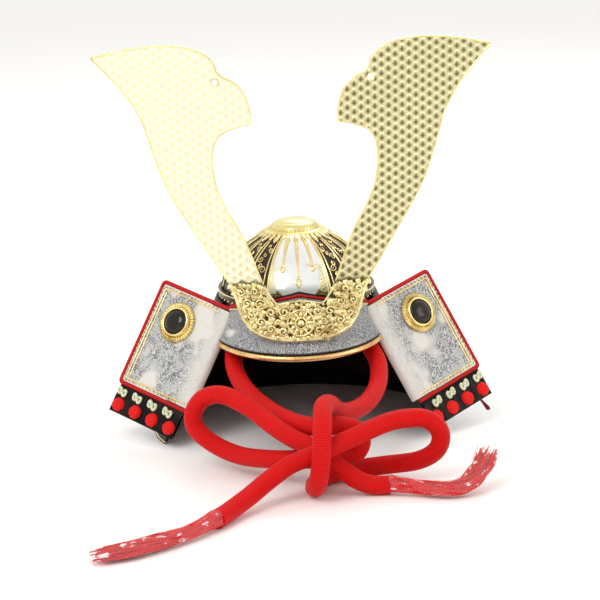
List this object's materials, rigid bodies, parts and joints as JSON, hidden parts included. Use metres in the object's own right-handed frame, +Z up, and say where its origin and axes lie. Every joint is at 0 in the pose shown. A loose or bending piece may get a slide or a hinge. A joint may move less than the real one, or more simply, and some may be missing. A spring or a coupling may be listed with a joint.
{
  "type": "samurai helmet",
  "caption": "Miniature samurai helmet: ribbed bowl, short visor, flaring neck guard, turned-back leather panels, tall gilt horns on a cast base and a tied silk cord with film-wrapped tassels.",
  "frame": {"origin": "middle of the underside at the neck guard's hem, the cord left out", "axes": "+Z up, -Y the way the wearer looks, +X to the viewer's right in front of it"},
  "size_m": [0.2544, 0.3628, 0.2615],
  "materials": {
    "bowl_lacquer": "dark brown lacquer over riveted plates, gilt ribs and small gilt scrolls",
    "band_lacquer": "black lacquer with fine gilt borders",
    "crown_gilt": "pale gilt, two steps with a beaded lower edge",
    "front_silver": "polished silver plating",
    "spike_gilt": "polished gilt",
    "printed_leather": "silver-grey leather printed with pale cloud patches and dark speckle",
    "rim_gilt": "polished gilt roll",
    "edging_silk": "red silk cord edging",
    "crest_gilt": "cast gilt leaf relief with dark recesses",
    "horn_gilt": "pale gilt sheet embossed with a woven hexagon pattern",
    "neck_lacquer": "black lacquered plates laced with silk",
    "strip_lacquer": "black lacquer with cream and red silk knots",
    "boss_gilt": "gilt ring with a roped edge",
    "boss_stone": "glossy black dome",
    "anchor_black": "plain black block",
    "cord_silk": "bright red braided silk cord",
    "tassel_film": "red silk threads wrapped in clear film"
  },
  "bodies": {
    "root": {"bowl": "bowl_lacquer", "waist_band": "band_lacquer", "crown_fitting": "crown_gilt", "front_plate": "front_silver", "front_spike_centre": "spike_gilt", "front_spike_left": "spike_gilt", "front_spike_right": "spike_gilt", "visor": "printed_leather", "visor_rim": "rim_gilt", "visor_edging": "edging_silk", "crest_base": "crest_gilt", "horn_left": "horn_gilt", "horn_right": "horn_gilt", "neck_plate_1": "neck_lacquer", "neck_plate_2": "neck_lacquer", "neck_plate_3": "neck_lacquer", "neck_plate_4": "neck_lacquer", "turned_panel_left": "printed_leather", "panel_trim_left": "edging_silk", "knot_strip_left": "strip_lacquer", "boss_ring_left": "boss_gilt", "boss_dome_left": "boss_stone", "cord_anchor_left": "anchor_black", "cord_left": "cord_silk", "tassel_left": "tassel_film", "turned_panel_right": "printed_leather", "panel_trim_right": "edging_silk", "knot_strip_right": "strip_lacquer", "boss_ring_right": "boss_gilt", "boss_dome_right": "boss_stone", "cord_anchor_right": "anchor_black", "cord_right": "cord_silk", "tassel_right": "tassel_film"}
  },
  "joints": []
}
